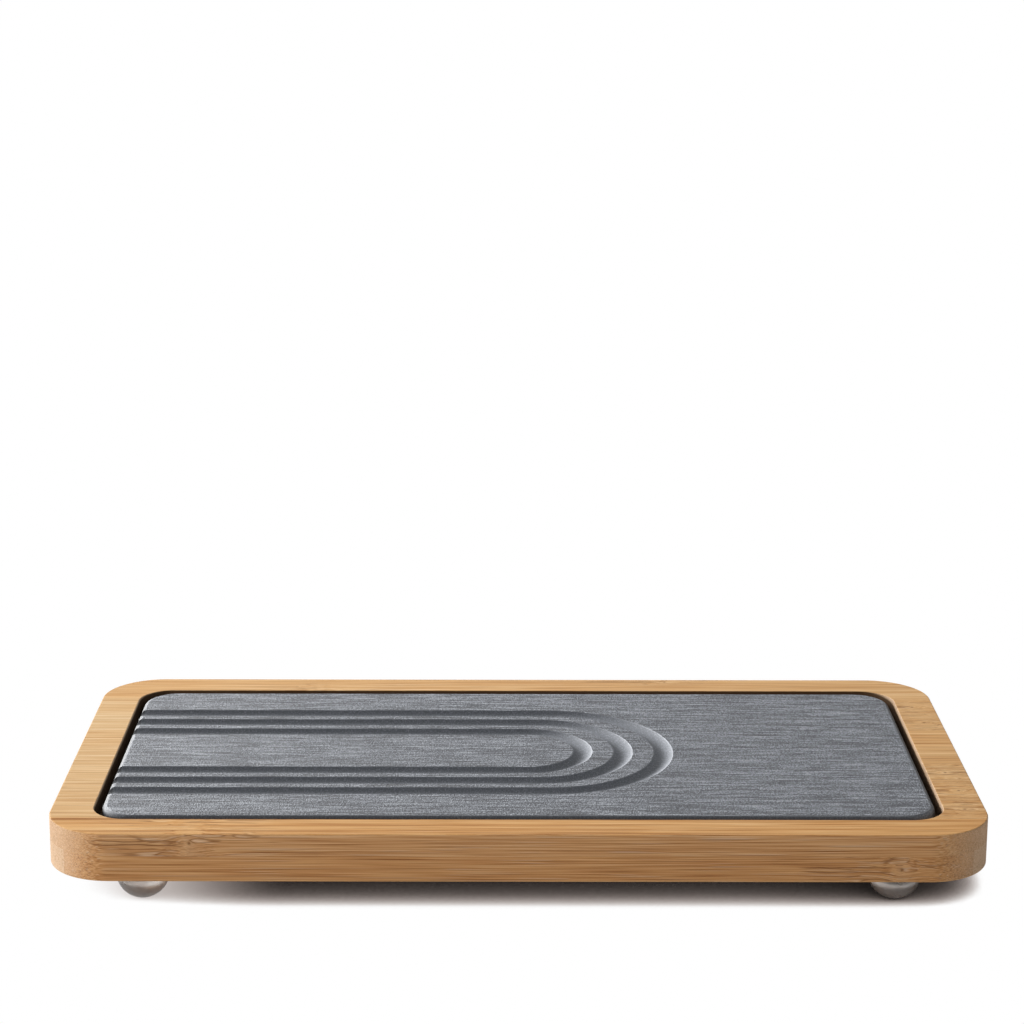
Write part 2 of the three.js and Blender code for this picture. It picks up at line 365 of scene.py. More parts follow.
def half_length(across, rows):
    """Half the length of every rounded rectangle at each distance across it.

    It is the straight end's place less what the corner's circle takes off there.
    """
    length, width, radius = rows[:, 0], rows[:, 1], rows[:, 2]
    into_corner = np.clip(np.abs(across)[:, None] - (width / 2 - radius), 0.0, radius)
    return length / 2 - radius + np.sqrt(radius**2 - into_corner**2)


def corner_walk(rows, near, far):
    """Each rounded rectangle's outline from the cut at near, along its end and round its corner, to far.

    A point is given by its turn round the corner's circle; a turn below zero runs straight along the end.
    """
    length, width, radius = rows[:, 0], rows[:, 1], rows[:, 2]
    centre = width / 2 - radius
    first = (near - centre) / radius
    first = np.where(first < 0.0, first, np.arcsin(np.clip(first, 0.0, 1.0)))
    last = np.arcsin(np.clip((np.minimum(far, width / 2) - centre) / radius, 0.0, 1.0))
    turn = first + (last - first) * np.linspace(0.0, 1.0, CORNER_STEPS)[:, None]
    bent = np.maximum(turn, 0.0)
    along = length / 2 - radius + radius * np.cos(bent)
    across = centre + radius * (np.sin(bent) + np.minimum(turn, 0.0))
    return along, across


def stack_points(along, across, height):
    """Grids of the three coordinates, stretched to one shape, as one grid of points."""
    return np.stack(np.broadcast_arrays(along, across, height), axis=-1)


def end_block(rows, low, high, side):
    """A strip's block beside the pocket: the rim's section, carried across the tray along both outlines."""
    across = np.linspace(low, high, STRIP_STEPS)
    return stack_points(side * half_length(across, rows), across[:, None], rows[:, 3])


def whole_strip(rows, low, high):
    """A strip from end to end: the section between the board's two ends, carried across the tray."""
    across = np.linspace(low, high, STRIP_STEPS)
    along = half_length(across, rows)
    height = np.concatenate([rows[:, 3], rows[::-1, 3]])
    return stack_points(np.hstack([-along, along[:, ::-1]]), across[:, None], height)


def edge_walk(rows, near, far, side):
    """The outlines from the cut at the left end, round along a long side, to the cut at the right end."""
    along, across = corner_walk(rows, near, far)
    return np.vstack([-along, along[::-1]]), side * np.vstack([across, across[::-1]])


def rim_strip(rows, near, far, side):
    """A strip that bends round the pocket: the rim's section, carried from one cut end round to the other."""
    along, across = edge_walk(rows, near, far, side)
    return stack_points(along, across, rows[:, 3])


def edge_bar(rows, near, far, side):
    """The strip at the board's long side: its outer section, carried round the edge, closed by a flat cut."""
    along, across = edge_walk(rows, near, far, side)
    cut_along = along[:, [-1, 0]]
    cut_across = np.full_like(cut_along, side * near)
    height = np.concatenate([rows[:, 3], rows[[-1, 0], 3]])
    return stack_points(np.hstack([along, cut_along]), np.hstack([across, cut_across]), height)


def rounded_slab(rows):
    """Rounded rectangles stacked into a slab.

    A point is its corner's centre plus the corner radius times the cosine and the sine of its angle.
    """
    length, width, radius, height = rows.T[:, :, None]
    quarter = np.linspace(0.0, math.pi / 2, CORNER_STEPS)
    angle = np.concatenate([quarter + corner * math.pi / 2 for corner in range(4)])
    toward_x = np.repeat([1, -1, -1, 1], CORNER_STEPS)
    toward_y = np.repeat([1, 1, -1, -1], CORNER_STEPS)
    along = toward_x * (length / 2 - radius) + radius * np.cos(angle)
    across = toward_y * (width / 2 - radius) + radius * np.sin(angle)
    return stack_points(along, across, height)


def turned(radius, height):
    """A turned shape: the profile's radius and height, carried round the upright axis."""
    angle = np.linspace(0.0, 2 * math.pi, TURN_STEPS, endpoint=False)
    return stack_points(radius[:, None] * np.cos(angle), radius[:, None] * np.sin(angle), height[:, None])


def cove_section(width, depth, shoulder):
    """The section of a groove's cutter, as distance from the groove's middle and height from the plate's top.

    The cove is a circle's arc as wide and deep as the groove. A small circle that touches it and the top
    rounds the shoulder, and sides that flare outwards close the section above the plate.
    """
    cove = width**2 / (8 * depth) + depth / 2
    rise = cove - depth
    reach = math.sqrt((cove + shoulder) ** 2 - (rise + shoulder) ** 2)
    opening = math.atan2(reach, rise + shoulder)
    arc = np.linspace(-opening, opening, COVE_STEPS)
    arc_side, arc_height = cove * np.sin(arc), rise - cove * np.cos(arc)
    turn = np.linspace(opening, SHOULDER_END, SHOULDER_STEPS)[1:]
    turn_side = reach - shoulder * np.sin(turn)
    turn_height = shoulder * (np.cos(turn) - 1.0)
    top_side = turn_side[-1] + CUTTER_FLARE
    top_height = CUTTER_FLARE * CUTTER_SLOPE
    side = np.concatenate([-turn_side[::-1], arc_side, turn_side, [top_side, -top_side]])
    height = np.concatenate([turn_height[::-1], arc_height, turn_height, [top_height, top_height]])
    return side, height


def groove_bar(section, span_half, bend_middle, start, top):
    """A groove's cutter: its section carried along one arm, round the half-circle bend and back."""
    side, height = section
    bend = np.linspace(-math.pi / 2, math.pi / 2, BEND_STEPS)
    angle = np.concatenate([bend[:1], bend, bend[-1:]])[:, None]
    middle = np.concatenate([[start], np.full(BEND_STEPS, bend_middle), [start]])[:, None]
    along = middle + (span_half + side) * np.cos(angle)
    across = (span_half + side) * np.sin(angle)
    return stack_points(along, across, top + height)


def skin(grids):
    """Points and faces of closed shells, one for each grid.

    A grid's rows follow the path and its columns go round the section, which closes on itself. Four-sided
    faces join neighbours, and one flat face closes the first row and one the last.
    """
    points = []
    faces = []
    start = 0
    for grid in grids:
        rows, columns = grid.shape[:2]
        index = start + np.arange(rows * columns).reshape(rows, columns)
        beside = np.roll(index, -1, axis=1)
        sides = np.stack([index[:-1], beside[:-1], beside[1:], index[1:]], axis=-1)
        points.append(grid.reshape(-1, 3))
        faces.extend(sides.reshape(-1, 4).tolist())
        faces.extend([index[0, ::-1].tolist(), index[-1].tolist()])
        start += rows * columns
    return np.concatenate(points), faces


def shell_mesh(name, *grids):
    """A closed mesh over the grids, with doubled points merged and its faces turned outwards."""
    points, faces = skin(grids)
    mesh = bpy.data.meshes.new(name)
    mesh.from_pydata(points, [], faces)
    shell = bmesh.new()
    shell.from_mesh(mesh)
    bmesh.ops.remove_doubles(shell, verts=shell.verts, dist=MERGE_DISTANCE)
    bmesh.ops.dissolve_degenerate(shell, edges=shell.edges, dist=MERGE_DISTANCE)
    bmesh.ops.recalc_face_normals(shell, faces=shell.faces)
    shell.to_mesh(mesh)
    shell.free()
    return mesh


def mark_all(mesh, name, value):
    """Gives every point of a mesh the same number, for its material to read."""
    layer = mesh.attributes.new(name, "FLOAT", "POINT")
    layer.data.foreach_set("value", np.full(len(mesh.vertices), value, np.float32))


def mark_place(mesh, name, place):
    """Gives every point of a mesh the same place, for its material to read."""
    layer = mesh.attributes.new(name, "FLOAT_VECTOR", "POINT")
    layer.data.foreach_set("vector", np.tile(np.asarray(place, np.float32), len(mesh.vertices)))


def add_piece(mesh, node, body, material):
    """Puts a finished mesh into the scene as the piece that stands for a CAD node."""
    piece = bpy.data.objects.new(mesh.name, mesh)
    bpy.context.scene.collection.objects.link(piece)
    mesh.materials.clear()
    mesh.materials.append(material)
    mesh.shade_smooth()
    mesh.set_sharp_from_angle(angle=SMOOTH_LIMIT)
    shading = piece.modifiers.new("flat faces shade flat", "WEIGHTED_NORMAL")
    shading.keep_sharp = True
    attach(piece, body)
    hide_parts(node)


class Nodes:
    """Shader nodes in the making: each call adds a node, fills its inputs and returns its output."""

    def __init__(self, tree):
        self.tree = tree
        tree.nodes.clear()

    def fill(self, socket, value):
        """Links an output to the socket, or sets the socket to a plain value."""
        if isinstance(value, bpy.types.NodeSocket):
            self.tree.links.new(value, socket)
        elif socket.type == "RGBA" and len(value) == 3:
            socket.default_value = (*value, 1.0)
        else:
            socket.default_value = value

    def add(self, kind, inputs, **settings):
        """A new node with these settings and inputs."""
        node = self.tree.nodes.new("ShaderNode" + kind)
        for name, value in settings.items():
            setattr(node, name, value)
        for key, value in inputs.items():
            self.fill(node.inputs[key], value)
        return node

    def place(self):
        """The point on the piece, in millimetres."""
        coordinates = self.add("TexCoord", {})
        return self.vector("MULTIPLY", coordinates.outputs["Object"], (1.0 / MILLIMETRE,) * 3)

    def facing(self):
        """The way the surface faces, as the piece's own x, y and z."""
        coordinates = self.add("TexCoord", {})
        return self.split(coordinates.outputs["Normal"])

    def mark(self, name, output="Fac"):
        """What the piece's points carry under this name."""
        return self.add("Attribute", {}, attribute_name=name).outputs[output]

    def shown(self):
        """One for what the eye sees, straight or in a gloss or a clear piece, and zero for light."""
        rays = self.add("LightPath", {}).outputs
        shown = self.sums("MAXIMUM", rays["Is Camera Ray"], rays["Is Glossy Ray"])
        return self.sums("MAXIMUM", shown, rays["Is Transmission Ray"])

    def split(self, vector):
        """The three parts of a vector."""
        parts = self.add("SeparateXYZ", {0: vector})
        return parts.outputs[0], parts.outputs[1], parts.outputs[2]

    def vector(self, operation, first, second):
        """Two vectors taken together."""
        return self.add("VectorMath", {0: first, 1: second}, operation=operation).outputs[0]

    def sums(self, operation, first, second=0.0, third=0.0):
        """Numbers taken together."""
        return self.add("Math", {0: first, 1: second, 2: third}, operation=operation).outputs[0]

    def times(self, first, second):
        """The product of two numbers."""
        return self.sums("MULTIPLY", first, second)

    def size(self, value):
        """A number without its sign."""
        return self.sums("ABSOLUTE", value)

    def lay(self, value, weight, onto):
        """A value times a weight, added onto another."""
        return self.sums("MULTIPLY_ADD", value, weight, onto)

    def weigh(self, value, weight, onto):
        """A value about one half, as weight times its distance from one half, added onto another."""
        return self.lay(self.sums("SUBTRACT", value, 0.5), weight, onto)

    def scaled(self, vector, size):
        """A vector times one number."""
        return self.add("VectorMath", {0: vector, "Scale": size}, operation="SCALE").outputs[0]

    def length(self, vector):
        """How long a vector is."""
        return self.add("VectorMath", {0: vector}, operation="LENGTH").outputs["Value"]

    def noise(self, place, lengths, detail=1.0, roughness=0.5, whole=False):
        """Smooth noise whose blobs are about as large as lengths, in millimetres along x, y and z."""
        stretched = self.vector("MULTIPLY", place, tuple(1.0 / length for length in lengths))
        inputs = {"Vector": stretched, "Scale": 1.0, "Detail": detail, "Roughness": roughness}
        node = self.add("TexNoise", inputs)
        return node.outputs["Color" if whole else 0]

    def drift(self, place, lengths, detail, widths):
        """A wandering vector: noise about zero in x, y and z, times the width of its wander in each."""
        noise = self.noise(place, lengths, detail, whole=True)
        return self.vector("MULTIPLY", self.vector("SUBTRACT", noise, (0.5, 0.5, 0.5)), widths)

    def between(self, value, low, high):
        """A soft step from 0 at low to 1 at high."""
        inputs = {"Value": value, "From Min": low, "From Max": high}
        return self.add("MapRange", inputs, interpolation_type="SMOOTHSTEP").outputs[0]

    def short_of(self, value, edge, band):
        """A soft step from 0 to 1 over a band that is given by its two distances short of an edge."""
        first, last = band
        return self.between(value, edge - first, edge - last)

    def bell(self, distance, width):
        """A bell curve: 1 at no distance, falling off over about one width."""
        ratio = self.sums("DIVIDE", distance, width)
        return self.sums("EXPONENT", self.times(self.times(ratio, ratio), -1.0))

    def ramp(self, value, stops):
        """A run of colours over a value."""
        node = self.add("ValToRGB", {0: value})
        band = node.color_ramp
        while len(band.elements) < len(stops):
            band.elements.new(1.0)
        for element, (position, colour) in zip(band.elements, stops):
            element.position = position
            element.color = (*colour, 1.0)
        return node.outputs[0]

    def mix(self, amount, first, second):
        """Two colours, from the first at 0 to the second at 1."""
        return self.add("Mix", {0: amount, 6: first, 7: second}, data_type="RGBA").outputs[2]

    def bump(self, height, strength, depth):
        """A normal that follows a height of about one, whose real depth is in millimetres."""
        inputs = {"Height": height, "Strength": strength, "Distance": depth * MILLIMETRE}
        return self.add("Bump", inputs).outputs[0]


class Finish(Nodes):
    """The nodes of a new material."""

    def __init__(self, name):
        self.material = bpy.data.materials.new(name)
        self.material.use_nodes = True
        super().__init__(self.material.node_tree)

    def surface(self, inputs):
        """The finished surface, from the shader's own inputs."""
        shader = self.add("BsdfPrincipled", inputs)
        self.add("OutputMaterial", {"Surface": shader.outputs[0]})
        return self.material


def bamboo_finish(colours):
    """Oiled bamboo.

    Fibres are noise drawn out along x, so the long faces show lines and the cut ends show specks. Each
    strip reads its own tone, start and knot from the attributes of its points; the tone of the blocks at the
    left end holds a painted light. Pale hairlines have a painted shadow, a brown line, just under them. At a
    knot the fibres part and wander, a pale band crosses the strip, short brown dashes lie beside it, thin
    cracks follow the fibres and a double split runs to its left. The side walls carry a painted sheen, the
    rounded edges a painted highlight, the top ones with wear too, and the pocket round the plate a painted
    shade.
    """
    known = bpy.data.materials.get("oiled_bamboo")
    if known:
        return known
    wood = Finish("oiled_bamboo")
    place = wood.place()
    tone_and_end_light = wood.mark("strip_tone")
    start = wood.mark("strip_start")
    along, across, up = wood.split(place)
    knot_gap = wood.vector("SUBTRACT", place, wood.mark("strip_knot", "Vector"))
    from_knot = wood.split(knot_gap)[0]
    near_knot = wood.bell(from_knot, KNOT_REACH)
    at_knot = wood.bell(from_knot, KNOT_BAND)
    beside_knot = wood.bell(wood.sums("ADD", from_knot, VESSEL_LEFT), VESSEL_REACH)

    wander = wood.drift(place, KNOT_WANDER, 1.0, WANDER_WIDTHS)
    shifted = wood.vector("ADD", place, wood.scaled(STRIP_SHIFT, start))
    aside = wood.vector("MULTIPLY", knot_gap, (0.0, 1.0, 1.0))
    to_side = wood.length(aside)
    parting = wood.times(wood.bell(from_knot, PARTING_LENGTH), wood.bell(to_side, PARTING_WIDTH))
    parting = wood.times(parting, -PARTING_PUSH)
    parting = wood.sums("DIVIDE", parting, wood.sums("ADD", to_side, PARTING_CORE))
    parted = wood.vector("ADD", shifted, wood.scaled(aside, parting))
    fibre = wood.vector("ADD", parted, wood.scaled(wander, near_knot))

    facing_x, facing_y, facing_z = wood.facing()
    facing_end = wood.size(facing_x)
    cut_across = wood.between(facing_end, 0.1, 0.95)
    side_wall = wood.between(wood.size(facing_z), 0.8, 0.4)
    bold = wood.times(wood.lay(tone_and_end_light, -0.4, 1.0), wood.lay(side_wall, -0.7, 1.0))

    fine = wood.noise(fibre, FINE_FIBRES)
    line = wood.noise(fibre, FIBRE_LINES)
    streak = wood.noise(fibre, FIBRE_STREAKS)
    band = wood.noise(fibre, FIBRE_BANDS)
    value = wood.lay(tone_and_end_light, 0.07, 0.5)
    value = wood.weigh(fine, 0.85, value)
    value = wood.weigh(line, wood.times(bold, 0.42), value)
    value = wood.weigh(streak, wood.times(bold, 0.26), value)
    value = wood.weigh(band, wood.times(bold, 0.32), value)
    stops = (
        (0.16, colours.brown),
        (0.36, colours.deep),
        (0.5, colours.middle),
        (0.64, colours.light),
        (0.86, colours.pale),
    )
    colour = wood.ramp(value, stops)
    green = wood.lay(tone_and_end_light, 0.11, 1.0)
    blue = wood.lay(tone_and_end_light, 0.28, 1.0)
    tint = wood.add("CombineXYZ", {0: 1.0, 1: green, 2: blue}).outputs[0]
    colour = wood.vector("MULTIPLY", colour, tint)

    vessels = wood.noise(wood.vector("ADD", fibre, VESSEL_START), VESSELS)
    vessels = wood.between(vessels, 0.6, 0.76)
    drawn = wood.lay(beside_knot, 0.2, 0.1)
    colour = wood.mix(wood.times(vessels, drawn), colour, colours.brown)

    # Painted shadow: under each pale hairline the same line, moved down, is drawn in brown.
    hair_place = wood.vector("ADD", fibre, HAIRLINE_START)
    hair_shadow_place = wood.vector("ADD", hair_place, (0.0, 0.0, HAIRLINE_DROP))
    hair = wood.between(wood.noise(hair_place, HAIRLINES, 0.0), 0.68, 0.76)
    hair_shadow = wood.between(wood.noise(hair_shadow_place, HAIRLINES, 0.0), 0.68, 0.76)
    colour = wood.mix(wood.times(hair_shadow, 0.4), colour, colours.brown)
    colour = wood.mix(wood.times(hair, 0.42), colour, colours.pale)

    colour = wood.mix(wood.times(at_knot, 0.25), colour, colours.light)
    dashes = wood.between(wood.noise(fibre, KNOT_DASHES), 0.57, 0.7)
    dashes = wood.times(dashes, near_knot)
    colour = wood.mix(wood.times(dashes, 0.16), colour, colours.brown)

    reach = wood.bell(from_knot, CRACK_REACH)
    sway = wood.scaled(wood.drift(place, CRACK_SWAY, 0.0, SWAY_WIDTHS), reach)
    split_place = wood.vector("ADD", parted, sway)
    flow = wood.noise(split_place, CRACK_LINES, 0.0)
    open_here = wood.between(wood.noise(split_place, CRACK_RUNS, 0.0), 0.42, 0.5)
    reach = wood.times(wood.sums("MINIMUM", wood.times(reach, 1.4), 1.0), open_here)
    crack = wood.times(wood.bell(wood.sums("SUBTRACT", flow, 0.5), 0.032), reach)
    crack = wood.times(crack, 0.75)
    apart = wood.sums("SUBTRACT", to_side, SPLIT_ASIDE)
    apart = wood.weigh(wood.noise(place, SPLIT_WANDER), 1.1, apart)
    split = wood.times(wood.between(from_knot, *SPLIT_OPENS), wood.between(from_knot, *SPLIT_CLOSES))
    split = wood.times(wood.bell(apart, SPLIT_WIDTH), split)
    crack = wood.sums("MAXIMUM", crack, split)
    eye = wood.bell(wood.length(knot_gap), KNOT_EYE)
    crack = wood.sums("MAXIMUM", crack, eye)
    lip = wood.times(wood.bell(wood.sums("SUBTRACT", flow, 0.59), 0.045), reach)
    colour = wood.mix(wood.times(lip, 0.4), colour, colours.pale)
    colour = wood.mix(wood.times(crack, 0.9), colour, colours.brown)

    # Painted sheen: the side walls are drawn bluer than the top.
    colour = wood.mix(side_wall, colour, wood.vector("MULTIPLY", colour, PAINTED_WALL_SHEEN))
    strip_shade = wood.add("TexWhiteNoise", {"W": start}, noise_dimensions="1D").outputs["Value"]
    patches = wood.noise(shifted, CUT_PATCHES)
    cut_level = wood.weigh(patches, 0.35, wood.lay(strip_shade, 0.3, 0.77))
    cut_colour = wood.scaled(colours.end_grain, cut_level)
    colour = wood.mix(wood.times(cut_across, 0.5), colour, cut_colour)
    specks = wood.noise(place, CUT_SPECKS, 2.0, 0.65)
    pale_specks = wood.times(wood.between(specks, 0.5, 0.61), cut_across)
    dark_specks = wood.times(wood.between(specks, 0.47, 0.35), cut_across)
    colour = wood.mix(wood.times(pale_specks, 0.3), colour, colours.end_grain)
    colour = wood.mix(wood.times(dark_specks, 0.25), colour, colours.brown)

    # Wear and painted highlight: patches of the rounded top edges are drawn paler.
    edge = wood.times(wood.between(facing_z, 0.1, 0.5), wood.between(facing_z, 0.97, 0.75))
    wear_and_highlight = wood.between(wood.noise(place, EDGE_WEAR_AND_HIGHLIGHT, 2.0, 0.6), 0.42, 0.62)
    colour = wood.mix(wood.times(wood.times(edge, wear_and_highlight), 0.2), colour, colours.pale)
    # Painted highlight: a pale line along the rounded bottom edges.
    bottom_edge_highlight = wood.times(wood.between(facing_z, -0.05, -0.3), wood.between(facing_z, -0.98, -0.85))
    colour = wood.mix(wood.times(bottom_edge_highlight, 0.5), colour, colours.light)

    # Painted shade: the pocket's walls and its floor along them, round the plate, are drawn dark brown,
    # darker lower down.
    from_middle = (wood.size(along), wood.size(across))
    inside = [wood.short_of(gap, half, PAINTED_SHADE_IN_POCKET) for gap, half in zip(from_middle, POCKET_HALF)]
    by_edge = [wood.short_of(gap, half, PAINTED_SHADE_BY_PLATE) for gap, half in zip(from_middle, PLATE_HALF)]
    rim_top = float(UPPER_HIGH[2]) / MILLIMETRE
    # The painted shade climbs highest on the rear wall and least on the right one, which faces the lamp at
    # the left.
    raised = wood.sums("ADD", up, wood.lay(facing_x, -0.4, wood.times(facing_end, 0.6)))
    raised = wood.lay(wood.sums("MINIMUM", facing_y, 0.0), 1.3, raised)
    deep_down = wood.times(wood.short_of(raised, rim_top, PAINTED_SHADE_UNDER_RIM), 0.9)
    round_plate = wood.times(wood.sums("MAXIMUM", *by_edge), deep_down)
    floor_height = float(LOWER_HIGH[2]) / MILLIMETRE
    above_floor = wood.short_of(up, floor_height, PAINTED_SHADE_IN_FLOOR)
    painted_pocket_shade = wood.times(wood.times(wood.times(*inside), round_plate), above_floor)
    colour = wood.mix(painted_pocket_shade, colour, colours.painted_pocket_shade)

    height = wood.weigh(line, 0.5, fine)
    height = wood.lay(dashes, -0.4, height)
    height = wood.lay(crack, -1.2, height)
    height = wood.lay(vessels, -0.4, height)
    height = wood.lay(dark_specks, -0.5, height)
    rough = wood.lay(fine, -0.16, 0.7)
    rough = wood.lay(cut_across, 0.12, rough)
    return wood.surface({
        "Base Color": colour,
        "Roughness": rough,
        "Normal": wood.bump(height, 0.5, 0.1),
        "Specular IOR Level": 0.03,
    })


def stone_finish(colours):
    """Brushed drying stone.

    Brush marks are noise drawn out along x on the flat top only. The grooves, the rounded edges and the
    underside keep the fine grain of the stone. The grooves' shoulders are drawn paler, a painted highlight,
    and the plate's edges darker, a painted shade.
    """
    stone = Finish("brushed_stone")
    place = stone.place()
    along, across, up = stone.split(place)
    top = float(PLATE_HIGH[2]) / MILLIMETRE
    brushed = stone.short_of(up, top, BRUSHED_LAYER)

    long_marks = stone.noise(place, LONG_MARKS, 0.0)
    scratches = stone.noise(stone.vector("ADD", place, SCRATCH_START), SCRATCHES, 0.0)
    grain = stone.noise(place, STONE_GRAIN, 1.0, 0.6)
    clouds = stone.noise(place, STONE_CLOUDS)
    marks = stone.weigh(long_marks, 1.6, 0.5)
    marks = stone.weigh(scratches, 0.35, marks)
    marks = stone.weigh(grain, 2.3, marks)
    marks = stone.weigh(clouds, 0.08, marks)
    land = stone.ramp(marks, ((0.08, colours.dark), (0.5, colours.middle), (0.94, colours.pale)))
    smooth = stone.weigh(grain, 1.2, 0.5)
    hollow = stone.ramp(smooth, ((0.1, colours.middle), (0.5, colours.groove), (0.95, colours.pale)))
    colour = stone.mix(brushed, hollow, land)
    # Painted highlight: a pale line along the grooves' shoulders, on both sides of each groove.
    shoulder = stone.times(brushed, stone.short_of(up, top, SHOULDER_HIGHLIGHT_LAYER))
    colour = stone.mix(shoulder, colour, colours.pale)
    # Painted shade: the plate's rounded edges are drawn darker, most at its ends.
    past_end = stone.short_of(stone.size(along), PLATE_HALF[0], END_SHADE_BAND)
    past_side = stone.short_of(stone.size(across), PLATE_HALF[1], SIDE_SHADE_BAND)
    rounded = stone.sums("MAXIMUM", stone.times(past_end, 0.9), stone.times(past_side, 0.5))
    colour = stone.mix(rounded, colour, colours.dark)

    rough_height = stone.times(grain, 0.3)
    height = stone.lay(brushed, stone.sums("SUBTRACT", marks, rough_height), rough_height)
    return stone.surface({
        "Base Color": colour,
        "Roughness": stone.lay(grain, 0.2, 0.62),
        "Normal": stone.bump(height, 0.6, 0.22),
        "Specular IOR Level": 0.6,
    })


def rubber_finish(colours):
    """Clear cast rubber with a faint cloud in it."""
    rubber = Finish("clear_cast_rubber")
    place = rubber.place()
    cloud = rubber.noise(place, RUBBER_CLOUDS, 2.0, 0.55)
    fine = rubber.noise(place, RUBBER_GRAIN, 2.0, 0.6)
    return rubber.surface({
        "Base Color": rubber.mix(rubber.between(cloud, 0.35, 0.7), colours.clear, colours.haze),
        "Roughness": rubber.lay(cloud, 0.2, 0.2),
        "Normal": rubber.bump(fine, 0.1, 0.05),
        "IOR": 1.45,
        "Transmission Weight": 0.86,
    })


def tape_finish(colours):
    """Adhesive tape: a pale film with fine fibres and specks."""
    film = Finish("adhesive_film")
    place = film.place()
    threads = film.noise(place, TAPE_THREADS, 2.0, 0.6)
    specks = film.noise(place, TAPE_SPECKS, 2.0, 0.6)
    value = film.weigh(specks, 0.6, threads)
    darker = tuple(0.72 * part for part in colours.tape)
    return film.surface({
        "Base Color": film.ramp(value, ((0.25, darker), (0.6, colours.tape))),
        "Roughness": film.lay(specks, 0.2, 0.35),
        "Normal": film.bump(value, 0.3, 0.04),
    })


def strip_number(node):
    """The number in a strip's name, counted from the front."""
    return int(node.split("_")[2])


def knot_place(node):
    """Where a strip's knot lies, in millimetres: on a front strip's front wall, else on the outer face."""
    low, high = (np.array(corner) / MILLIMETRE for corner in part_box(node))
    across = low[1] if strip_number(node) == 1 else (low[1] + high[1]) / 2
    outer_face = high[2] if node.startswith("upper") else low[2]
    return KNOTS.get(node, NO_KNOT), across, KNOT_HEIGHTS.get(node, outer_face)


def strip_cuts(node):
    """A strip's front and rear cuts, its side of the tray, and its near and far cuts from the middle."""
    low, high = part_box(node)
    front, rear = low.y - GLUE_FILL, high.y + GLUE_FILL
    side = 1 if front + rear > 0 else -1
    near, far = sorted((side * front, side * rear))
    return front, rear, side, near, far


def round_box(node):
    """A round node's lowest and highest corners, and its middle in plan, in metres."""
    low, high = (np.array(corner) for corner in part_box(node))
    return low, high, np.append((low + high)[:2] / 2, 0.0)


def add_strip(node, grid, tones, material):
    """One bamboo strip, with the numbers that its wood is drawn from."""
    number = strip_number(node)
    mesh = shell_mesh(node + "_wood", grid)
    ply_start = 0.0 if node.startswith("upper") else LOWER_START
    # The tone carries the painted light of the blocks at the left end.
    mark_all(mesh, "strip_tone", tones[number - 1] + PAINTED_END_LIGHT.get(node.split("_")[-1], 0.0))
    mark_all(mesh, "strip_start", ply_start + number)
    mark_place(mesh, "strip_knot", knot_place(node))
    add_piece(mesh, node, "tray", material)


class TRAY_OT_upper_strips(bpy.types.Operator):
    """Build the upper ply: the strips and end blocks that frame the pocket"""

    bl_idname = "tray.upper_strips"
    bl_label = "Upper strips"

    def execute(self, context):
        board = context.scene.tray_board
        length, width = (BOARD_HIGH - BOARD_LOW)[:2]
        bottom, top = UPPER_LOW[2] - GLUE_FILL, UPPER_HIGH[2]
        drawn_in, risen = edge_arc(board.edge_round)
        outer = ring_rows(
            length, width, board.corner_radius,
            np.append(0.0, drawn_in), np.append(bottom, top - board.edge_round + risen),
        )
        drawn_out, climbed = edge_arc(board.pocket_edge)
        inner = ring_rows(
            length - 2 * RIM_WIDTH, width - 2 * RIM_WIDTH, board.pocket_radius,
            np.append(-drawn_out[::-1], 0.0), np.append(top - board.pocket_edge + climbed[::-1], bottom),
        )
        rim = np.vstack([outer, inner])
        pocket_half = width / 2 - RIM_WIDTH
        wood = bamboo_finish(board)
        for node in UPPER_NODES:
            front, rear, side, near, far = strip_cuts(node)
            if node.endswith(("_left", "_right")):
                grid = end_block(rim, front, rear, 1 if node.endswith("_right") else -1)
            elif near < pocket_half:
                grid = rim_strip(rim, near, far, side)
            else:
                grid = edge_bar(outer, near, far, side)
            add_strip(node, grid, UPPER_TONES, wood)
        return {"FINISHED"}


class TRAY_OT_lower_strips(bpy.types.Operator):
    """Build the lower ply: the strips that run the whole length under the pocket"""

    bl_idname = "tray.lower_strips"
    bl_label = "Lower strips"

    def execute(self, context):
        board = context.scene.tray_board
        length, width = (BOARD_HIGH - BOARD_LOW)[:2]
        bottom, top = LOWER_LOW[2], LOWER_HIGH[2] + GLUE_FILL
        drawn_in, risen = edge_arc(board.edge_round)
        outer = ring_rows(
            length, width, board.corner_radius,
            np.append(0.0, drawn_in), np.append(top, bottom + board.edge_round - risen),
        )
        wood = bamboo_finish(board)
        for node in LOWER_NODES:
            front, rear, side, near, far = strip_cuts(node)
            if far > width / 2 - board.edge_round:
                grid = edge_bar(outer, near, far, side)
            else:
                grid = whole_strip(outer, front, rear)
            add_strip(node, grid, LOWER_TONES, wood)
        return {"FINISHED"}


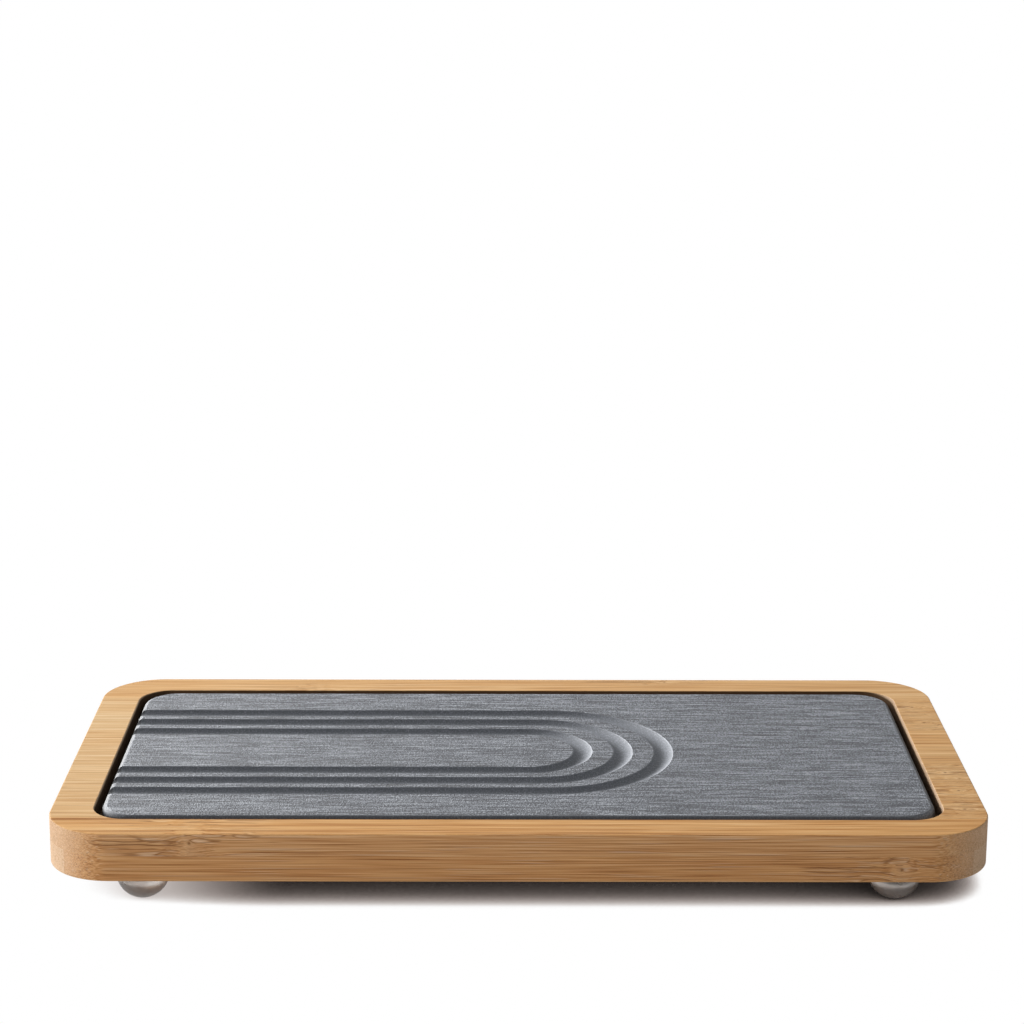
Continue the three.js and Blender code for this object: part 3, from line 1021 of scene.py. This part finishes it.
class TRAY_OT_stone_plate(bpy.types.Operator):
    """Build the stone plate and cut its drain grooves"""

    bl_idname = "tray.stone_plate"
    bl_label = "Stone plate"

    def execute(self, context):
        plate = context.scene.tray_plate
        length, width = (PLATE_HIGH - PLATE_LOW)[:2]
        bottom, top = PLATE_LOW[2], PLATE_HIGH[2]
        drawn_in, risen = edge_arc(plate.edge_round)
        rows = ring_rows(
            length, width, plate.corner_radius,
            np.concatenate([drawn_in[::-1], drawn_in]),
            np.concatenate([bottom + plate.edge_round - risen[::-1], top - plate.edge_round + risen]),
        )
        blank = bpy.data.objects.new("plate_blank", shell_mesh("plate_blank", rounded_slab(rows)))

        section = cove_section(plate.groove_width, plate.groove_depth, plate.groove_shoulder)
        past_edge = PLATE_LOW[0] - CUTTER_RUNOUT
        bars = []
        for count in range(GROOVE_COUNT):
            span_half = plate.inner_span / 2 + count * plate.groove_pitch
            bend_middle = PLATE_LOW[0] + plate.inner_arm + count * plate.arm_step
            bars.append(groove_bar(section, span_half, bend_middle, past_edge, top))
        cutter = bpy.data.objects.new("groove_cutter", shell_mesh("groove_cutter", *bars))
        context.scene.collection.objects.link(cutter)
        context.scene.collection.objects.link(blank)
        cut = blank.modifiers.new("grooves", "BOOLEAN")
        cut.operation = "DIFFERENCE"
        cut.solver = "EXACT"
        cut.object = cutter
        evaluated = blank.evaluated_get(context.evaluated_depsgraph_get())
        grooved = bpy.data.meshes.new_from_object(evaluated)
        grooved.name = "stone_plate_stone"
        bpy.data.objects.remove(blank)
        bpy.data.objects.remove(cutter)
        add_piece(grooved, "stone_plate", "plate", stone_finish(plate))
        return {"FINISHED"}


class TRAY_OT_feet(bpy.types.Operator):
    """Build the clear dome feet"""

    bl_idname = "tray.feet"
    bl_label = "Feet"

    def execute(self, context):
        feet = context.scene.tray_feet
        rubber = rubber_finish(feet)
        for node in FOOT_NODES:
            low, high, middle = round_box(node)
            radius = (high[0] - low[0]) / 2
            flat = math.asin(feet.contact_radius / radius)
            angle = np.linspace(flat, math.pi / 2, DOME_STEPS)
            risen = 1.0 - np.cos(angle) / math.cos(flat)
            grid = turned(radius * np.sin(angle), low[2] + (high[2] - low[2]) * risen)
            add_piece(shell_mesh(node + "_dome", grid + middle), node, "tray", rubber)
        return {"FINISHED"}


class TRAY_OT_foot_tape(bpy.types.Operator):
    """Build the adhesive discs that hold the feet"""

    bl_idname = "tray.foot_tape"
    bl_label = "Foot tape"

    def execute(self, context):
        feet = context.scene.tray_feet
        film = tape_finish(feet)
        for node in TAPE_NODES:
            low, high, middle = round_box(node)
            drawn_in, risen = edge_arc(feet.tape_edge)
            inset = np.concatenate([drawn_in[::-1], drawn_in])
            height = np.concatenate([
                low[2] + feet.tape_edge - risen[::-1],
                high[2] - feet.tape_edge + risen,
            ])
            grid = turned((high[0] - low[0]) / 2 - inset, height)
            add_piece(shell_mesh(node + "_film", grid + middle), node, "tray", film)
        return {"FINISHED"}


def camera_matrix(place, turn, dip, lean):
    """The camera's place and axes: turned from +Y towards +X, dipped below the horizon, then leaned over."""
    ahead = np.array([math.sin(turn) * math.cos(dip), math.cos(turn) * math.cos(dip), -math.sin(dip)])
    level = np.array([math.cos(turn), -math.sin(turn), 0.0])
    under = np.cross(ahead, level)
    right = math.cos(lean) * level + math.sin(lean) * under
    down = math.cos(lean) * under - math.sin(lean) * level
    matrix = np.eye(4)
    matrix[:3, :3] = np.stack([right, -down, -ahead], axis=1)
    matrix[:3, 3] = place
    return Matrix(matrix.tolist())


def light_sky(tree, level):
    """A white backdrop to the eye; as light, a sky of this level that fades overhead and to the right."""
    sky = Nodes(tree)
    direction = sky.add("TexCoord", {}).outputs["Generated"]
    toward_right, _, up = sky.split(direction)
    light = sky.lay(sky.between(up, *SKY_HEIGHTS), -SKY_FADE * level, level)
    light = sky.times(light, sky.lay(toward_right, -SKY_LEAN, 1.0))
    strength = sky.add("Mix", {0: sky.shown(), 2: light, 3: 1.0}, data_type="FLOAT").outputs[0]
    backdrop = sky.add("Background", {"Color": WHITE, "Strength": strength})
    sky.add("OutputWorld", {"Surface": backdrop.outputs[0]})


def floor_finish(stage):
    """A white sheet that keeps the shade under the tray.

    To the eye the sheet glows with a painted shadow, worked out from how much of the sky it sees: white where
    it sees half the sky or more, shading off to a warm dark under the tray, more steeply at the right end. A
    painted light, set by the place along the floor, brightens it at the left end. As a source of light it is
    plain paper.
    """
    paper = Finish("floor_paper")
    shade = paper.add("AmbientOcclusion", {"Distance": SHADE_REACH}, samples=SHADE_SAMPLES)
    along = paper.split(paper.place())[0]
    # Painted light at the left end, set by the place along the floor.
    painted_light_at_left = paper.between(along, *LIT_STRETCH)
    steepness = paper.lay(paper.between(along, *STEEP_STRETCH), 0.7, 1.5)
    light = paper.sums("POWER", paper.times(shade.outputs["AO"], 2.0), steepness)
    light = paper.sums("MINIMUM", paper.sums("ADD", light, painted_light_at_left), 1.0)
    tint = paper.mix(light, SHADE_TINT, WHITE)
    seen = paper.add("Emission", {"Color": tint, "Strength": light}).outputs[0]
    lit = paper.add("BsdfDiffuse", {"Color": stage.floor}).outputs[0]
    sheet = paper.add("MixShader", {0: paper.shown(), 1: lit, 2: seen})
    paper.add("OutputMaterial", {"Surface": sheet.outputs[0]})
    return paper.material


def add_lamp(name, level, turn, rise, box):
    """A softbox that faces the tray and lights the table under it to this level.

    Its power is the level times pi squared and its distance squared, over the sine of its rise.
    """
    distance, width, height = box
    away = Vector((-math.sin(turn) * math.cos(rise), math.cos(turn) * math.cos(rise), math.sin(rise)))
    data = bpy.data.lights.new(name, "AREA")
    data.shape = "RECTANGLE"
    data.size = width
    data.size_y = height
    data.energy = level * (math.pi * distance) ** 2 / math.sin(rise)
    lamp = bpy.data.objects.new(name, data)
    lamp.location = away * distance
    lamp.rotation_euler = away.to_track_quat("Z", "Y").to_euler()
    lamp.visible_camera = False
    bpy.context.scene.collection.objects.link(lamp)
    return lamp


def light_only(lamps, piece, state):
    """Lets lamps light this piece alone, or all but this piece, as flags on stands do in a studio."""
    group = bpy.data.collections.new(piece.name + "_light")
    group.objects.link(piece)
    group.collection_objects[0].light_linking.link_state = state
    for lamp in lamps:
        lamp.light_linking.receiver_collection = group


class TRAY_OT_stage(bpy.types.Operator):
    """Set the floor, the light and the camera"""

    bl_idname = "tray.stage"
    bl_label = "Stage"

    def execute(self, context):
        scene = context.scene
        stage = scene.tray_stage
        scene.view_settings.view_transform = "Standard"

        paper = floor_finish(stage)
        corners = FLOOR_REACH * np.array([[-1, -1, 0], [1, -1, 0], [1, 1, 0], [-1, 1, 0]])
        mesh = bpy.data.meshes.new("floor")
        mesh.from_pydata(corners, [], [[0, 1, 2, 3]])
        mesh.materials.append(paper)
        floor = bpy.data.objects.new("floor", mesh)
        scene.collection.objects.link(floor)

        world = bpy.data.worlds.new("studio")
        world.use_nodes = True
        scene.world = world
        light_sky(world.node_tree, stage.sky_level)

        rear = add_lamp("rear_softbox", stage.rear_level, stage.rear_turn, stage.rear_rise, REAR_BOX)
        side = add_lamp("side_softbox", stage.side_level, stage.side_turn, stage.side_rise, SIDE_BOX)
        raking = add_lamp(
            "raking_softbox", stage.raking_level, stage.raking_turn, stage.raking_rise, RAKING_BOX
        )
        plate = bpy.data.objects["stone_plate_stone"]
        light_only([rear, side], plate, "EXCLUDE")
        light_only([raking], plate, "INCLUDE")

        lens = bpy.data.cameras.new("photo_camera")
        lens.lens = stage.lens
        lens.clip_end = CAMERA_SIGHT
        camera = bpy.data.objects.new("photo_camera", lens)
        place = np.array(CAMERA_PLACE) * MILLIMETRE
        camera.matrix_world = camera_matrix(place, *(math.radians(angle) for angle in CAMERA_ANGLES))
        scene.collection.objects.link(camera)
        scene.camera = camera
        return {"FINISHED"}


class TRAY_PT_build(bpy.types.Panel):
    """The tray's steps and settings"""

    bl_idname = "TRAY_PT_build"
    bl_label = "Vanity tray"
    bl_space_type = "VIEW_3D"
    bl_region_type = "UI"
    bl_category = "Tray"

    def draw(self, context):
        scene = context.scene
        layout = self.layout
        for operator in OPERATORS:
            layout.operator(operator.bl_idname)
        for settings in (scene.tray_board, scene.tray_plate, scene.tray_feet, scene.tray_stage):
            box = layout.box()
            for name in settings.__annotations__:
                box.prop(settings, name)


SETTINGS = {
    "tray_board": TrayBoardSettings,
    "tray_plate": TrayPlateSettings,
    "tray_feet": TrayFootSettings,
    "tray_stage": TrayStageSettings,
}
OPERATORS = (
    TRAY_OT_upper_strips,
    TRAY_OT_lower_strips,
    TRAY_OT_stone_plate,
    TRAY_OT_feet,
    TRAY_OT_foot_tape,
    TRAY_OT_stage,
)


def register():
    """Makes the settings, operators and panel known to Blender."""
    for name, settings in SETTINGS.items():
        bpy.utils.register_class(settings)
        setattr(bpy.types.Scene, name, PointerProperty(type=settings))
    for operator in OPERATORS:
        bpy.utils.register_class(operator)
    bpy.utils.register_class(TRAY_PT_build)


def unregister():
    """Takes away what register added."""
    bpy.utils.unregister_class(TRAY_PT_build)
    for operator in reversed(OPERATORS):
        bpy.utils.unregister_class(operator)
    for name, settings in reversed(SETTINGS.items()):
        delattr(bpy.types.Scene, name)
        bpy.utils.unregister_class(settings)


def main():
    """Builds the tray and its stage."""
    register()
    bpy.ops.tray.upper_strips()
    bpy.ops.tray.lower_strips()
    bpy.ops.tray.stone_plate()
    bpy.ops.tray.feet()
    bpy.ops.tray.foot_tape()
    bpy.ops.tray.stage()


if __name__ == "__main__":
    main()
